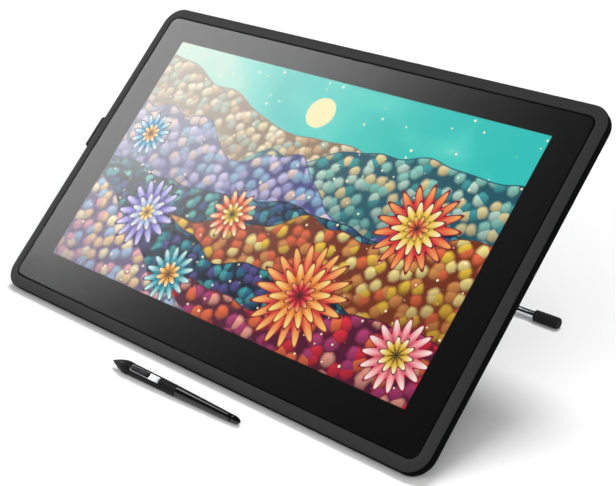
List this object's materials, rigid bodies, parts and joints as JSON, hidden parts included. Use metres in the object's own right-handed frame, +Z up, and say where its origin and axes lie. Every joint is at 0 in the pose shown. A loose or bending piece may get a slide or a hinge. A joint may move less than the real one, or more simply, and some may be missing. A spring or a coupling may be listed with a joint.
{
  "type": "pen display",
  "caption": "Flat drawing tablet with a built-in screen behind glass, tilted back on a folding fork leg with a tubular foot, beside its pressure pen.",
  "frame": {"origin": "middle of the rubber strip's flat face on the desk, under the display's lower edge", "axes": "+X to the viewer's right along the display's lower edge, +Y to the back, +Z up"},
  "size_m": [0.584, 0.364, 0.2569],
  "materials": {
    "bezel_plastic": "fine matte dark grey",
    "cover_plastic": "fine matte black",
    "cover_glass": "clear, lightly etched",
    "mask_ink": "black ink under the glass",
    "gasket_foam": "black foam tape",
    "screen": "lit picture",
    "light_guide": "clear acrylic",
    "panel_metal": "bare sheet",
    "circuit_board": "green solder mask",
    "chip": "moulded black",
    "screw_steel": "plated",
    "ribbon": "flat ribbon",
    "socket_metal": "tinned",
    "socket_plastic": "moulded black",
    "insert_brass": "knurled brass",
    "bush_bronze": "sintered bronze",
    "foot_rubber": "matte black",
    "key_plastic": "satin black",
    "light_pipe": "clear light pipe",
    "stand_steel": "black powder coat",
    "bright_steel": "ground steel",
    "tube_chrome": "chrome plated",
    "brake_lining": "friction lining",
    "pen_gloss": "polished black",
    "pen_satin": "satin black",
    "pen_rubber": "soft matte",
    "nib_plastic": "hard black",
    "plate_silver": "satin silver",
    "coil_copper": "enamelled copper wire"
  },
  "bodies": {
    "display": {"front_bezel": "bezel_plastic", "cover_glass": "cover_glass", "glass_mask": "mask_ink", "glass_gasket": "gasket_foam", "lcd_panel": "screen", "backlight": "light_guide", "panel_tray": "panel_metal", "pen_sensor_sheet": "circuit_board", "chassis_plate": "panel_metal", "chassis_screws": "screw_steel", "main_board": "circuit_board", "board_chips": "chip", "board_screws": "screw_steel", "led_driver_board": "circuit_board", "panel_cable": "ribbon", "hdmi_socket": "socket_metal", "usb_socket": "socket_metal", "dc_socket": "socket_plastic", "rear_cover": "cover_plastic", "case_screws": "screw_steel", "arm_inserts": "insert_brass", "lock_plate": "panel_metal", "foot_strip": "foot_rubber", "button_board": "circuit_board", "power_light": "light_pipe", "pen_holder": "cover_plastic", "holder_blank": "cover_plastic", "stand_bracket": "stand_steel", "stand_screws": "screw_steel", "hinge_bushes": "bush_bronze", "lever_pin": "bright_steel", "lever_spring": "bright_steel", "pen_nose": "pen_satin", "pen_coil": "coil_copper", "pen_force_sensor": "chip", "pen_board": "circuit_board", "pen_grip": "pen_rubber", "pen_switch_plate": "plate_silver", "pen_switch_pin": "bright_steel", "pen_barrel": "pen_gloss"},
    "leg": {"hinge_shaft": "bright_steel", "shaft_clips": "screw_steel", "brake_drum": "bright_steel", "leg_plate": "stand_steel", "foot_tube": "tube_chrome", "foot_sleeve_left": "foot_rubber", "foot_sleeve_right": "foot_rubber"},
    "lever": {"release_lever": "cover_plastic", "brake_shoe": "brake_lining"},
    "power_key": {"power_button": "key_plastic"},
    "nib": {"pen_nib": "nib_plastic"},
    "side_switch": {"pen_switch": "pen_satin"},
    "tail_switch": {"pen_eraser": "pen_gloss"}
  },
  "joints": [
    {"name": "leg_fold", "type": "hinge", "parent": "display", "child": "leg", "pos_m": [0, 0.14885, 0.09701], "axis": [1, 0, 0], "range_deg": [-76.6, 57.1]},
    {"name": "lever_press", "type": "hinge", "parent": "display", "child": "lever", "pos_m": [0, 0.17147, 0.11681], "axis": [1, 0, 0], "range_deg": [0, 8], "stiffness_Nm_per_rad": 4, "springref_deg": -5.73, "deforming": ["lever_spring"]},
    {"name": "power_press", "type": "slide", "parent": "display", "child": "power_key", "axis": [0, -1, 0], "range_m": [0, 0.0008], "stiffness_N_per_m": 900, "springref_m": -0.001},
    {"name": "nib_press", "type": "slide", "parent": "display", "child": "nib", "axis": [0.9994, 0.0314, -0.015], "range_m": [0, 0.0006], "stiffness_N_per_m": 1500, "springref_m": -0.0004},
    {"name": "side_switch_rock", "type": "hinge", "parent": "display", "child": "side_switch", "pos_m": [-0.01413, -0.0558, 0.01024], "axis": [-0.0187, 0.8479, 0.5299], "range_deg": [-3, 3], "stiffness_Nm_per_rad": 0.5},
    {"name": "tail_press", "type": "slide", "parent": "display", "child": "tail_switch", "axis": [-0.9994, -0.0314, 0.015], "range_m": [0, 0.001], "stiffness_N_per_m": 1200, "springref_m": -0.0006}
  ]
}
